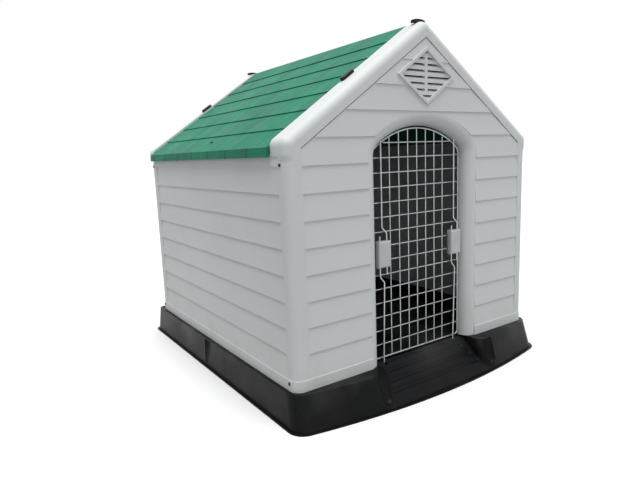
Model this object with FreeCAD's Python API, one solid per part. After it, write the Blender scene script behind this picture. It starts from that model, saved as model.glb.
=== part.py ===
"""Extra-large dog house: moulded base with ramp, clapboard walls, gable roof and a wire door."""
import FreeCAD, Part
import math
import os
from FreeCAD import Vector

# Driving dimensions in mm. X points right seen from the front, Y to the back, Z up.
# The pieces are drawn with y = 0 at the front wall's face and z = 0 at the ledge the walls stand on.

# Cabin
WALL_HALF = 440.0
CABIN_DEPTH = 959.0
RIDGE_Z = 890.0
ROOF_SLOPE = 0.69
SKIN = 8.0
POST_WIDTH = 42.0
POST_RADIUS = 26.0
FRONT_FLANGE = 34.0
BACK_FLANGE = 54.0
FLANGE_WALL = 6.0
TAB_LENGTH = 22.0

# Clapboards
BOARD_STEP = 3.0
BOARD_HEIGHT = 63.45
BAND_HEIGHT = 27.45
BAND_PROUD = 1.5
SIDE_WALL = 8.0

# Rake trim over each gable
TRIM_RISE = 4.0
TRIM_DEPTH = 45.0
TRIM_SLOPE = 0.683
TRIM_END = 442.0
TRIM_END_LOW = 561.0
TRIM_FOOT_Z = 575.0
FRONT_OVERHANG = 0.0
BACK_OVERHANG = 19.0
FRONT_HOOD = 63.0
BACK_HOOD = 34.0
TRIM_ROUND = 22.0
PEAK_ROUND = 24.0
EAVE_ROUND = 24.0
HOOD_LEDGE = 17.0
LEDGE_THICK = 8.0
GROOVE = 3.0

# Roof
ROOF_THICK = 9.0
ROOF_HALF = 450.0
FASCIA_DROP = 22.5
FASCIA_THICK = 7.0
COURSES = 7
SHINGLE_STEP = 2.5
SHINGLE_WIDTH = 121.0
SEAM = 1.2
FASCIA_SEAM = 3.0
FASCIA_SEAM_DEPTH = 2.0
FASCIA_SEAM_START = 100.0
TONGUE_REACH = 30.0
TONGUE_THICK = 6.0

# Vent in each gable
VENT_Z = 751.0
VENT_HALF_WIDTH = 103.0
VENT_HALF_HEIGHT = 72.0
VENT_FRAME = 0.88
VENT_PROUD = 4.0
VENT_ROWS = 8
SLAT = 0.42
LOUVRE_RISE = 12.0
CENTRE_BAR = 10.0

# Doorway
DOOR_HALF = 170.0
DOOR_APEX = 627.0
ARCH_RADIUS = 264.0
SHOULDER_RADIUS = 33.0
SURROUND = 32.0
SURROUND_FACE = 2.0
SURROUND_BACK = 40.0

# Base
BASE_HEIGHT = 88.0
LEDGE_HALF = 452.0
SKIRT_HALF = 460.0
LIP_OUT = 6.0
LIP_THICK = 4.0
LEDGE_FRONT = -57.0
SKIRT_FRONT = -81.0
LEDGE_REAR = 22.0
SKIRT_REAR = 30.5
BOW_RADIUS = 2145.0
FRONT_CORNER = 44.0
REAR_CORNER = 21.0
BASE_WALL = 4.0
DECK = 6.0
FLOOR_DROP = 3.5
RIM_WIDTH = 8.0
RIM_HEIGHT = 25.0
FIT = 0.3
RIB_WALL = 4.0
RIB_DEPTH = 12.0

# Ramp
RAMP_HALF = 176.0
RAMP_FLARE = 33.0
RAMP_TOP_Y = 27.5
RAMP_RUN = 93.5
RAMP_DROP = 76.5
TREAD_COUNT = 4
TREAD_PITCH = 22.0
TREAD_HALF = 136.0
TREAD_GROWTH = 10.5
TREAD_RADIUS = 14.0
TREAD_DEPTH = 2.0

# Flutes pressed into the skirt
CORNER_FLUTE_X = 204.0
CORNER_FLUTE_RADIUS = 20.0
CORNER_FLUTE_DEPTH = 14.0
SIDE_FLUTE_Y = 501.0
SIDE_FLUTE_RADIUS = 40.0
SIDE_FLUTE_DEPTH = 10.0
SIDE_FLUTE_FADE = 1.0
FLUTE_TOP = 3.0
FLUTE_BOTTOM = 74.0

# Wire door
FRAME_WIRE = 5.0
MESH_WIRE = 3.5
FRAME_HALF = 165.0
FRAME_BOTTOM = 4.5
FRAME_APEX = 621.0
FRAME_ARCH = 253.0
FRAME_SHOULDER = 28.0
FRAME_CORNER = 10.0
FRAME_Y = 37.0
MESH_ROWS = 15
MESH_ROW_PITCH = 38.6
MESH_COLUMNS = 7
MESH_COLUMN_PITCH = 33.5

# Latches
ROD_WIRE = 4.5
ROD_X = 138.0
ROD_Y = 29.5
ROD_TRAVEL = 12.0
PIN_REACH = 6.0
PIN_DEPTH = 9.0
PIN_PLAY = 0.35
SLOT_FRONT = 13.0
GRIP_SHIFT = 4.0
GRIP_WIDTH = 42.0
GRIP_DEPTH = 13.0
GRIP_LOW = 257.0
GRIP_HIGH = 328.0
GRIP_WALL = 3.0
GRIP_ROUND = 5.0
UPPER_LEG = 16.0
LOWER_LEG = -8.0
LOWER_LEAN = 6.0
STUB = 14.0
ROD_BEND = 8.0
COLLAR_RADIUS = 3.6
COLLAR_HEIGHT = 3.5
COLLAR_GAP = 2.5
SPRING_WIRE = 0.9
SPRING_TURNS = 5
PLATE_THICK = 3.0
BOSS_RADIUS = 3.0

# Fasteners
CLIP_LENGTH = 44.0
CLIP_WIDTH = 16.0
CLIP_THICK = 8.0
CLIP_BOW = 3.0
CLIP_ROUND = 7.0
CLIP_EDGE = 1.5
CLIP_X = 216.0
FRONT_RIDGE_CLIP_Y = 31.0
FRONT_SIDE_CLIP_Y = 57.0
BACK_CLIP_INSET = 11.0
SCREW_HEAD = 8.0
SCREW_HEAD_HEIGHT = 2.5
SCREW_SHANK = 4.0
SCREW_TOP_Z = 538.0
SCREW_LOW_Z = 19.0
SCREW_INSET = 26.0
EAVE_SCREW_Y = 460.0
EAVE_SCREW_DOWN = 500.0

# Sizes that follow from the ones above.
SLANT = math.hypot(1, ROOF_SLOPE)
TRIM_PEAK = RIDGE_Z + TRIM_RISE
FIELD_HALF = WALL_HALF - POST_WIDTH
SKIN_BACK = BOARD_STEP + SKIN
MESH_Y = FRAME_Y - MESH_WIRE / 2
FRAME_Y_CENTRE = (SKIRT_FRONT - LIP_OUT + CABIN_DEPTH + SKIRT_REAR + LIP_OUT) / 2


def box(x0, x1, y0, y1, z0, z1):
    return Part.makeBox(x1 - x0, y1 - y0, z1 - z0, Vector(x0, y0, z0))


def prism_y(outline, y0, y1):
    """Extrude a closed outline of (x, z) points along Y."""
    corners = [Vector(x, y0, z) for x, z in outline + outline[:1]]
    return Part.Face(Part.makePolygon(corners)).extrude(Vector(0, y1 - y0, 0))


def prism_x(outline, x0, x1):
    """Extrude a closed outline of (y, z) points along X."""
    corners = [Vector(x0, y, z) for y, z in outline + outline[:1]]
    return Part.Face(Part.makePolygon(corners)).extrude(Vector(x1 - x0, 0, 0))


def mirror_x(shape):
    return shape.mirror(Vector(0, 0, 0), Vector(1, 0, 0))


def fuse_all(shapes):
    return shapes[0].multiFuse(shapes[1:]).removeSplitter()


def cylinder(radius, start, direction, length):
    return Part.makeCylinder(radius, length, start, direction)


def edges_within(shape, x, y, z):
    """Edges whose whole length lies inside the three given ranges."""
    found = []
    for edge in shape.Edges:
        size = edge.BoundBox
        in_x = size.XMin > x[0] and size.XMax < x[1]
        in_y = size.YMin > y[0] and size.YMax < y[1]
        in_z = size.ZMin > z[0] and size.ZMax < z[1]
        if in_x and in_y and in_z:
            found.append(edge)
    return found


def slope_point(down, out, side=1):
    """A point on a roof slope: down from the ridge along it, out along its normal."""
    x = (down + out * ROOF_SLOPE) / SLANT
    z = RIDGE_Z + (out - down * ROOF_SLOPE) / SLANT
    return (side * x, z)


def slope_z(x, out):
    """Height above a given x of the plane that lies parallel to the roof slope."""
    return RIDGE_Z - ROOF_SLOPE * abs(x) + out * SLANT


# Base tray

def bow_y(x, front):
    """The bowed front edge, as y at a given x."""
    return front + BOW_RADIUS - math.sqrt(BOW_RADIUS ** 2 - x ** 2)


def bowed_outline(half, front, back, inset, z):
    """Plan of the tray: bowed front edge and four rounded corners, shrunk by an inset."""
    half = half - inset
    back = back - inset
    front_radius = FRONT_CORNER - inset
    rear_radius = REAR_CORNER - inset
    bow_centre = front + BOW_RADIUS
    bow = BOW_RADIUS - inset
    corner_x = half - front_radius
    corner_y = bow_centre - math.sqrt((bow - front_radius) ** 2 - corner_x ** 2)
    share = bow / (bow - front_radius)
    touch = Vector(corner_x * share, bow_centre + (corner_y - bow_centre) * share, z)
    corner = Vector(corner_x, corner_y, z)
    swing = math.atan2(touch.y - corner_y, touch.x - corner_x) / 2
    middle = corner + Vector(math.cos(swing), math.sin(swing), 0) * front_radius
    rear = Vector(half - rear_radius, back - rear_radius, z)
    rear_middle = rear + Vector(1, 1, 0).normalize() * rear_radius

    def left(point):
        return Vector(-point.x, point.y, z)

    side_low = Vector(half, corner_y, z)
    side_high = Vector(half, rear.y, z)
    rear_end = Vector(rear.x, back, z)
    return Part.Wire([
        Part.Arc(left(touch), Vector(0, bow_centre - bow, z), touch).toShape(),
        Part.Arc(touch, middle, side_low).toShape(),
        Part.LineSegment(side_low, side_high).toShape(),
        Part.Arc(side_high, rear_middle, rear_end).toShape(),
        Part.LineSegment(rear_end, left(rear_end)).toShape(),
        Part.Arc(left(rear_end), left(rear_middle), left(side_high)).toShape(),
        Part.LineSegment(left(side_high), left(side_low)).toShape(),
        Part.Arc(left(side_low), left(middle), left(touch)).toShape(),
    ])


def tray_body(inset, top):
    """The skirt's tapering body, from its foot up to a given height."""
    rear = CABIN_DEPTH + SKIRT_REAR
    foot = bowed_outline(SKIRT_HALF, SKIRT_FRONT, rear, inset, -BASE_HEIGHT)
    ledge = bowed_outline(LEDGE_HALF, LEDGE_FRONT, CABIN_DEPTH + LEDGE_REAR, inset, top)
    return Part.makeLoft([foot, ledge], True, True)


def recess_outline(front, grow, z):
    """Plan of the ramp recess: parallel side walls that flare round to the front face."""
    half = RAMP_HALF + grow
    flare = RAMP_FLARE - grow
    mouth = half + flare
    front_y = bow_y(mouth, front)
    bend = Vector(mouth, front_y + flare, z)
    middle = bend + Vector(-1, -1, 0).normalize() * flare
    outside = front_y - RAMP_FLARE
    rear = RAMP_TOP_Y + grow

    def left(point):
        return Vector(-point.x, point.y, z)

    inner = Vector(half, rear, z)
    start = Vector(half, bend.y, z)
    end = Vector(mouth, front_y, z)
    out = Vector(mouth, outside, z)
    return Part.Wire([
        Part.LineSegment(left(inner), inner).toShape(),
        Part.LineSegment(inner, start).toShape(),
        Part.Arc(start, middle, end).toShape(),
        Part.LineSegment(end, out).toShape(),
        Part.LineSegment(out, left(out)).toShape(),
        Part.LineSegment(left(out), left(end)).toShape(),
        Part.Arc(left(end), left(middle), left(start)).toShape(),
        Part.LineSegment(left(start), left(inner)).toShape(),
    ])


def ramp_recess(grow):
    """Space above the ramp; grown by the wall thickness it keeps the tray's hollow clear."""
    low = recess_outline(SKIRT_FRONT, grow, -BASE_HEIGHT)
    high = recess_outline(LEDGE_FRONT, grow, 0)
    fall = RAMP_DROP / RAMP_RUN
    under = grow * math.hypot(1, fall)
    lip_top = -BASE_HEIGHT + LIP_THICK
    foot_z = lip_top if grow == 0 else -BASE_HEIGHT
    foot_y = RAMP_TOP_Y - (foot_z + FLOOR_DROP + under) / -fall
    far = SKIRT_FRONT - RAMP_FLARE * 2
    above = [
        (far, 0),
        (RAMP_TOP_Y + grow, 0),
        (RAMP_TOP_Y + grow, -FLOOR_DROP - under + grow * fall),
        (foot_y, foot_z),
        (far, foot_z),
    ]
    wide = RAMP_HALF + RAMP_FLARE * 2
    return Part.makeLoft([low, high], True, True).common(prism_x(above, -wide, wide))


def corner_flute(grow):
    """Upright flute beside the ramp, leaning with the front face: open at the ledge, round at its foot."""
    radius = CORNER_FLUTE_RADIUS + grow
    out = CORNER_FLUTE_RADIUS - CORNER_FLUTE_DEPTH
    face_low = bow_y(CORNER_FLUTE_X, SKIRT_FRONT) - out
    face_high = bow_y(CORNER_FLUTE_X, LEDGE_FRONT) - out
    lean = (face_high - face_low) / BASE_HEIGHT
    low_z = -FLUTE_BOTTOM + CORNER_FLUTE_RADIUS
    top = Vector(CORNER_FLUTE_X, face_high + lean * FLUTE_TOP, FLUTE_TOP)
    low = Vector(CORNER_FLUTE_X, face_high + lean * low_z, low_z)
    shaft = cylinder(radius, low, top - low, (top - low).Length)
    return shaft.fuse(Part.makeSphere(radius, low))


def side_flute(grow):
    """Round-backed hollow pressed into the middle of the side skirt, fading out towards its foot."""
    radius = SIDE_FLUTE_RADIUS + grow
    foot_z = LIP_THICK - BASE_HEIGHT
    high_x = LEDGE_HALF - SIDE_FLUTE_DEPTH + SIDE_FLUTE_RADIUS
    low_x = SKIRT_HALF - SIDE_FLUTE_FADE + SIDE_FLUTE_RADIUS
    lean = (high_x - low_x) / -foot_z
    high = Vector(high_x + lean * radius, SIDE_FLUTE_Y, radius)
    low = Vector(low_x - lean * radius, SIDE_FLUTE_Y, foot_z - radius)
    shaft = cylinder(radius, low, high - low, (high - low).Length)
    reach = SIDE_FLUTE_Y + radius * 2
    return shaft.common(box(0, high_x + radius * 2, -reach, reach, foot_z, grow - FLUTE_TOP))


def flutes(grow):
    one_side = [corner_flute(grow), side_flute(grow)]
    return one_side + [mirror_x(shape) for shape in one_side]


def tread_grooves():
    """Shallow round-ended hollows across the ramp, each longer than the one above."""
    fall = RAMP_DROP / RAMP_RUN
    outward = Vector(0, -fall, 1).normalize()
    grooves = []
    for row in range(TREAD_COUNT):
        y = RAMP_TOP_Y - TREAD_PITCH * row
        half = TREAD_HALF + TREAD_GROWTH * row
        surface = Vector(0, y, -FLOOR_DROP - fall * (RAMP_TOP_Y - y))
        centre = surface + outward * (TREAD_RADIUS - TREAD_DEPTH)
        start = centre - Vector(half, 0, 0)
        middle = cylinder(TREAD_RADIUS, start, Vector(1, 0, 0), half * 2)
        ends = [Part.makeSphere(TREAD_RADIUS, centre + Vector(side * half, 0, 0)) for side in (-1, 1)]
        grooves.append(fuse_all([middle] + ends))
    return grooves


def rim_ring():
    """Upstand that the wall panels locate against, left open at the doorway."""
    x = WALL_HALF - BOARD_STEP - SIDE_WALL - FIT
    front = SKIN_BACK + FIT
    back = CABIN_DEPTH - SKIN_BACK - FIT
    outer = box(-x, x, front, back, -FLOOR_DROP, RIM_HEIGHT)
    inner_x = x - RIM_WIDTH
    hollow = box(-inner_x, inner_x, front + RIM_WIDTH, back - RIM_WIDTH, -FLOOR_DROP, RIM_HEIGHT)
    gate = DOOR_HALF + SURROUND + GRIP_SHIFT
    doorway = box(-gate, gate, front, SURROUND_BACK, -FLOOR_DROP, RIM_HEIGHT)
    return outer.cut(hollow).cut(doorway)


def base_ribs():
    """Shallow stiffening ribs under the deck."""
    low = -DECK - RIB_DEPTH
    wide = SKIRT_HALF
    rear = CABIN_DEPTH + SKIRT_REAR
    ribs = []
    for x in (-WALL_HALF * 0.6, 0, WALL_HALF * 0.6):
        ribs.append(box(x - RIB_WALL / 2, x + RIB_WALL / 2, SKIRT_FRONT, rear, low, 0))
    for share in (0.16, 0.34, 0.52, 0.7, 0.88):
        y = CABIN_DEPTH * share
        ribs.append(box(-wide, wide, y - RIB_WALL / 2, y + RIB_WALL / 2, low, 0))
    return ribs


def pin_space(x):
    """Round hole for the hinge side pin, or an open slot for the free side pin."""
    radius = ROD_WIRE / 2 + PIN_PLAY
    low = -FLOOR_DROP - PIN_DEPTH
    hole = cylinder(radius, Vector(x, ROD_Y, low), Vector(0, 0, 1), PIN_DEPTH + FLOOR_DROP)
    if x > 0:
        return hole
    slot = box(x - radius - PIN_PLAY, x + radius + PIN_PLAY, SLOT_FRONT, ROD_Y, low, 0)
    return hole.fuse(slot)


def base_tray():
    lip_foot = bowed_outline(SKIRT_HALF + LIP_OUT, SKIRT_FRONT - LIP_OUT,
                             CABIN_DEPTH + SKIRT_REAR + LIP_OUT, 0, -BASE_HEIGHT)
    lip = Part.Face(lip_foot).extrude(Vector(0, 0, LIP_THICK))
    hollow = tray_body(BASE_WALL, -DECK).cut(fuse_all(base_ribs()))
    for shape in [ramp_recess(BASE_WALL)] + flutes(BASE_WALL):
        hollow = hollow.cut(shape)
    boss_half = ROD_WIRE * 3
    bosses = []
    for x in (-ROD_X, ROD_X):
        low = -FLOOR_DROP - PIN_DEPTH - BASE_WALL
        bosses.append(box(x - boss_half, x + boss_half, SLOT_FRONT, ROD_Y + boss_half, low, -FLOOR_DROP))
    rim_inner = WALL_HALF - BOARD_STEP - SIDE_WALL - FIT - RIM_WIDTH
    floor_front = SKIN_BACK + FIT + RIM_WIDTH
    floor_back = CABIN_DEPTH - floor_front
    floor = box(-rim_inner, rim_inner, floor_front, floor_back, -FLOOR_DROP, 0)
    body = tray_body(0, 0).fuse(lip)
    foot_cut = tray_body(BASE_WALL, -DECK)
    body = body.cut(foot_cut).fuse(foot_cut.cut(hollow))
    body = body.cut(ramp_recess(0)).cut(floor)
    body = body.fuse(bosses).cut(ramp_recess(0))
    for flute in flutes(0):
        body = body.cut(flute)
    body = body.cut(tread_grooves())
    body = body.cut([pin_space(-ROD_X), pin_space(ROD_X)])
    return body.fuse(rim_ring()).removeSplitter()


# Gable panels

def clapboards(first_y, back_y, top_z):
    """Side view (y, z) of the boards, each leaning out to its lower edge, above a proud foot band."""
    proud_y = first_y - BAND_PROUD
    outline = [(back_y, 0), (proud_y, 0), (proud_y, BAND_HEIGHT), (first_y, BAND_HEIGHT)]
    z = BAND_HEIGHT
    while z < top_z:
        upper = min(z + BOARD_HEIGHT, top_z)
        lean = BOARD_STEP * (upper - z) / BOARD_HEIGHT
        outline.append((first_y + lean, upper))
        if upper < top_z:
            outline.append((first_y, upper))
        z = z + BOARD_HEIGHT
    outline.append((back_y, top_z))
    return outline


def trim_top(x):
    return TRIM_PEAK - TRIM_SLOPE * abs(x)


def both_sides(right_points):
    """Complete an outline of (x, z) points that starts at the top middle and goes right."""
    left_points = [(-x, z) for x, z in reversed(right_points) if x > 0]
    return right_points + left_points


def rake_trim(overhang, hood):
    """Band along both slopes, broadly rounded over the ridge, at the eaves and along its outer edge."""
    outline = both_sides([
        (0, TRIM_PEAK),
        (TRIM_END, trim_top(TRIM_END)),
        (TRIM_END, TRIM_END_LOW),
        (FIELD_HALF, TRIM_FOOT_Z),
        (0, TRIM_PEAK - TRIM_DEPTH),
    ])
    solid = prism_y(outline, -overhang, hood)
    wide = TRIM_END + 1
    depth = (-overhang - 1, hood + 1)
    ridge = edges_within(solid, (-1, 1), depth, (TRIM_PEAK - 1, TRIM_PEAK + 1))
    solid = solid.makeFillet(PEAK_ROUND, ridge)
    eave_z = trim_top(TRIM_END)
    eaves = edges_within(solid, (-wide, wide), depth, (eave_z - 1, eave_z + 1))
    solid = solid.makeFillet(EAVE_ROUND, eaves)
    face = (-overhang - 1, -overhang + 1)
    outer = []
    for edge in edges_within(solid, (-wide, wide), face, (TRIM_END_LOW - 1, TRIM_PEAK + 1)):
        middle = edge.CenterOfMass
        upright = abs(middle.x) > TRIM_END - 1
        if upright or middle.z > trim_top(middle.x) - EAVE_ROUND:
            outer.append(edge)
    return solid.makeFillet(TRIM_ROUND, outer)


def hood_underside(hood):
    """Space under the hood plate, behind the gable wall."""
    low = TRIM_END_LOW - TRIM_DEPTH
    plate = both_sides([
        (0, slope_z(0, -ROOF_THICK)),
        (TRIM_END, slope_z(TRIM_END, -ROOF_THICK)),
        (TRIM_END, low),
        (0, low),
    ])
    return prism_y(plate, SKIN_BACK, hood)


def roof_ledge(hood):
    """Strip under the roof's edge, parallel to the slopes."""
    reach = WALL_HALF - BOARD_STEP - SIDE_WALL - FIT
    outline = both_sides([
        (0, slope_z(0, -ROOF_THICK)),
        (reach, slope_z(reach, -ROOF_THICK)),
        (reach, slope_z(reach, -ROOF_THICK - LEDGE_THICK)),
        (0, slope_z(0, -ROOF_THICK - LEDGE_THICK)),
    ])
    return prism_y(outline, BOARD_STEP, hood + HOOD_LEDGE)


def corner_post(flange, height):
    """Right-hand corner post: rounded outside, open inside, with a flange back along the side."""
    outer = box(FIELD_HALF, WALL_HALF, 0, flange, 0, height)
    corner = edges_within(outer, (WALL_HALF - 1, WALL_HALF + 1), (-1, 1), (-1, height + 1))
    outer = outer.makeFillet(POST_RADIUS, corner)
    inner_x = WALL_HALF - FLANGE_WALL
    inner = box(FIELD_HALF - 1, inner_x, SKIN, flange, 0, height)
    corner = edges_within(inner, (inner_x - 1, inner_x + 1), (SKIN - 1, SKIN + 1), (-1, height + 1))
    return outer.cut(inner.makeFillet(FLANGE_WALL, corner))


def band_block(proud, flange):
    """Block as wide as the panel and its two posts, with their round corners, up to the foot band's top."""
    reach = WALL_HALF + proud
    block = box(-reach, reach, -proud, flange, 0, BAND_HEIGHT)
    corners = [edge for edge in block.Edges if edge.BoundBox.YMax < 1 - proud and edge.BoundBox.XLength < 1]
    return block.makeFillet(POST_RADIUS + proud, corners)


def foot_band(flange):
    """Proud band round the foot of a gable panel and its posts."""
    return band_block(BAND_PROUD, flange).cut(band_block(-FLANGE_WALL / 2, flange))


def diamond(scale):
    return both_sides([
        (0, VENT_Z + VENT_HALF_HEIGHT * scale),
        (VENT_HALF_WIDTH * scale, VENT_Z),
        (0, VENT_Z - VENT_HALF_HEIGHT * scale),
    ])


def vent_slots():
    """Louvre slots rising inwards, cut to the diamond and split by a centre bar but for the end rows."""
    pitch = VENT_HALF_HEIGHT * VENT_FRAME * 2 / VENT_ROWS
    height = pitch * SLAT
    deep = SKIN_BACK + VENT_PROUD
    wide = VENT_HALF_WIDTH
    inside = prism_y(diamond(VENT_FRAME), -VENT_PROUD, deep)
    bar = box(-CENTRE_BAR / 2, CENTRE_BAR / 2, -VENT_PROUD, deep, 0, RIDGE_Z)
    slots = []
    for row in range(VENT_ROWS):
        z = VENT_Z + (row + 0.5 - VENT_ROWS / 2) * pitch - height / 2
        rise = LOUVRE_RISE
        outline = [(-VENT_PROUD, z), (deep, z + rise), (deep, z + rise + height), (-VENT_PROUD, z + height)]
        slot = prism_x(outline, -wide, wide).common(inside)
        if 0 < row < VENT_ROWS - 1:
            slot = slot.cut(bar)
        slots.extend(slot.Solids)
    return slots


def screw_places(inset):
    return [(inset, SCREW_TOP_Z), (inset, SCREW_LOW_Z)]


def gable_panel(overhang, hood, flange):
    """One end wall seen from outside, with its face at y = 0."""
    field = both_sides([
        (0, TRIM_PEAK - TRIM_DEPTH - GROOVE),
        (FIELD_HALF, TRIM_FOOT_Z - GROOVE),
        (FIELD_HALF, 0),
    ])
    boards = prism_x(clapboards(0, SKIN_BACK, TRIM_PEAK), -FIELD_HALF, FIELD_HALF)
    boards = boards.common(prism_y(field, -BAND_PROUD, SKIN_BACK))
    backing = both_sides([
        (0, slope_z(0, -ROOF_THICK)),
        (FIELD_HALF, slope_z(FIELD_HALF, -ROOF_THICK)),
        (FIELD_HALF, 0),
    ])
    plate = prism_y(backing, SKIN_BACK - SKIN / 2, SKIN_BACK)
    trim = rake_trim(overhang, hood).cut(hood_underside(hood))
    post_top = slope_z(WALL_HALF, -ROOF_THICK)
    post = corner_post(flange, post_top)
    cap_z = slope_z(TRIM_END, -ROOF_THICK)
    post_cap = both_sides([(0, TRIM_PEAK), (TRIM_END, cap_z), (TRIM_END, 0), (0, 0)])
    post = post.common(prism_y(post_cap, 0, flange))
    panel = fuse_all([boards, plate, trim, roof_ledge(hood), post, mirror_x(post), foot_band(flange)])
    for y, z in screw_places(SCREW_INSET):
        start = Vector(WALL_HALF - FLANGE_WALL * 2, y, z)
        hole = cylinder(SCREW_SHANK / 2, start, Vector(1, 0, 0), FLANGE_WALL * 3)
        panel = panel.cut([hole, mirror_x(hole)])
    vent_frame = prism_y(diamond(1), -VENT_PROUD, SKIN_BACK)
    vent_well = prism_y(diamond(VENT_FRAME), -VENT_PROUD, BOARD_STEP / 2)
    panel = panel.fuse(vent_frame).cut(vent_well).cut(vent_slots())
    return panel


def arch_edges(half, apex, radius, shoulder, y):
    """Right half of an arch outline, from the foot of its jamb to the apex."""
    centre_z = apex - radius
    bend_x = half - shoulder
    bend_z = centre_z + math.sqrt((radius - shoulder) ** 2 - bend_x ** 2)
    share = radius / (radius - shoulder)
    touch = Vector(bend_x * share, y, centre_z + (bend_z - centre_z) * share)
    swing = math.atan2(touch.z - bend_z, touch.x - bend_x) / 2
    middle = Vector(bend_x + shoulder * math.cos(swing), y, bend_z + shoulder * math.sin(swing))
    lean = math.atan2(touch.x, touch.z - centre_z) / 2
    crown = Vector(radius * math.sin(lean), y, centre_z + radius * math.cos(lean))
    jamb_top = Vector(half, y, bend_z)
    shoulder_arc = Part.Arc(jamb_top, middle, touch).toShape()
    crown_arc = Part.Arc(touch, crown, Vector(0, y, apex)).toShape()
    return jamb_top, shoulder_arc, crown_arc


def arch_prism(grow, y0, y1, low):
    """Solid of the doorway's arched outline, grown by a given width."""
    radius = ARCH_RADIUS + grow
    parts = arch_edges(DOOR_HALF + grow, DOOR_APEX + grow, radius, SHOULDER_RADIUS + grow, y0)
    jamb_top, shoulder_arc, crown_arc = parts
    foot = Vector(jamb_top.x, y0, low)
    middle = Vector(0, y0, low)
    right = [
        Part.LineSegment(middle, foot).toShape(),
        Part.LineSegment(foot, jamb_top).toShape(),
        shoulder_arc,
        crown_arc,
        Part.LineSegment(Vector(0, y0, DOOR_APEX + grow), middle).toShape(),
    ]
    half = Part.Face(Part.Wire(right)).extrude(Vector(0, y1 - y0, 0))
    return half.fuse(mirror_x(half)).removeSplitter()


def door_surround():
    """Arched frame of the doorway with a quarter-round inner edge."""
    ring = arch_prism(SURROUND, SURROUND_FACE, SURROUND_BACK, 0)
    ring = ring.cut(arch_prism(0, SURROUND_FACE, SURROUND_BACK, 0))
    half = DOOR_HALF + 0.5
    face = (SURROUND_FACE - 0.5, SURROUND_FACE + 0.5)
    inner = edges_within(ring, (-half, half), face, (-0.5, DOOR_APEX + 0.5))
    return ring.makeFillet(SURROUND - 0.5, inner)


def soffit_z(x):
    return DOOR_APEX - ARCH_RADIUS + math.sqrt(ARCH_RADIUS ** 2 - x ** 2)


def soffit_space(x):
    """Room in the arch for a rod's upper pin: a hole, or a slot open to the front."""
    radius = ROD_WIRE / 2 + PIN_PLAY
    low = soffit_z(abs(x)) - PIN_DEPTH
    height = PIN_DEPTH * 2
    hole = cylinder(radius, Vector(x, ROD_Y, low), Vector(0, 0, 1), height)
    if x > 0:
        return hole
    wide = radius + PIN_PLAY
    return hole.fuse(box(x - wide, x + wide, 0, ROD_Y, low, low + height))


def front_panel():
    panel = gable_panel(FRONT_OVERHANG, FRONT_HOOD, FRONT_FLANGE)
    panel = panel.cut(arch_prism(SURROUND - 0.5, -BAND_PROUD, SKIN_BACK, 0))
    panel = panel.fuse(door_surround())
    return panel.cut([soffit_space(-ROD_X), soffit_space(ROD_X)])


def back_panel():
    panel = gable_panel(BACK_OVERHANG, BACK_HOOD, BACK_FLANGE)
    panel.rotate(Vector(0, 0, 0), Vector(0, 0, 1), 180)
    panel.translate(Vector(0, CABIN_DEPTH, 0))
    return panel


# Side panels

def side_panel():
    """Right side wall: clapboards between the corner flanges, with tongues behind them."""
    face = WALL_HALF
    inner = face - BOARD_STEP - SIDE_WALL
    top = slope_z(inner, -ROOF_THICK)
    outline = [(face - y, z) for y, z in clapboards(0, BOARD_STEP + SIDE_WALL, top)]
    front = FRONT_FLANGE + FIT
    back = CABIN_DEPTH - BACK_FLANGE - FIT
    wall = prism_y(outline, front, back)
    tongue_x = face - FLANGE_WALL
    tongue_top = slope_z(tongue_x, -ROOF_THICK) - LEDGE_THICK * 2
    tongues = [
        box(inner, tongue_x, front - TAB_LENGTH + SKIN, front, 0, tongue_top),
        box(inner, tongue_x, back, back + BACK_FLANGE - SKIN * 2, 0, tongue_top),
    ]
    wall = fuse_all([wall] + tongues)
    edge = face + BAND_PROUD
    below_roof = [(0, 0), (edge, 0), (edge, slope_z(edge, -ROOF_THICK)), (0, slope_z(0, -ROOF_THICK))]
    wall = wall.common(prism_y(below_roof, 0, CABIN_DEPTH))
    screws = []
    for inset, z in screw_places(SCREW_INSET):
        for y in (inset, CABIN_DEPTH - inset):
            start = Vector(inner - 1, y, z)
            screws.append(cylinder(SCREW_SHANK / 2, start, Vector(1, 0, 0), SIDE_WALL * 2))
    return wall.cut(screws)


# Roof

def roof_section():
    """Section of the right-hand roof panel: shingle courses, fold, fascia lip and underside."""
    fold = ROOF_HALF * SLANT
    course = fold / COURSES
    outline = [slope_point(0, 0), slope_point(course, 0)]
    for number in range(1, COURSES):
        outline.append(slope_point(course * number, -SHINGLE_STEP))
        outline.append(slope_point(course * (number + 1), 0))
    fascia_low = slope_z(ROOF_HALF, 0) - FASCIA_DROP
    outline.append((ROOF_HALF + SHINGLE_STEP, fascia_low))
    inner = ROOF_HALF + SHINGLE_STEP - FASCIA_THICK
    outline.append((inner, fascia_low))
    outline.append((inner, slope_z(inner, -ROOF_THICK)))
    outline.append((0, slope_z(0, -ROOF_THICK)))
    return outline


def shingle_seams(front, back):
    """Shallow upright seams in the courses, staggered from one course to the next."""
    course = ROOF_HALF * SLANT / COURSES
    seams = []
    for number in range(COURSES):
        start = front + SHINGLE_WIDTH * (0.5 + 0.5 * (number % 2))
        corners = [
            slope_point(course * number, SEAM),
            slope_point(course * (number + 1), SEAM),
            slope_point(course * (number + 1), -SHINGLE_STEP / 2),
            slope_point(course * number, -SHINGLE_STEP - SEAM / 2),
        ]
        y = start
        while y < back - SHINGLE_WIDTH / 4:
            seams.append(prism_y(corners, y - SEAM / 2, y + SEAM / 2))
            y = y + SHINGLE_WIDTH
    return seams


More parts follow.
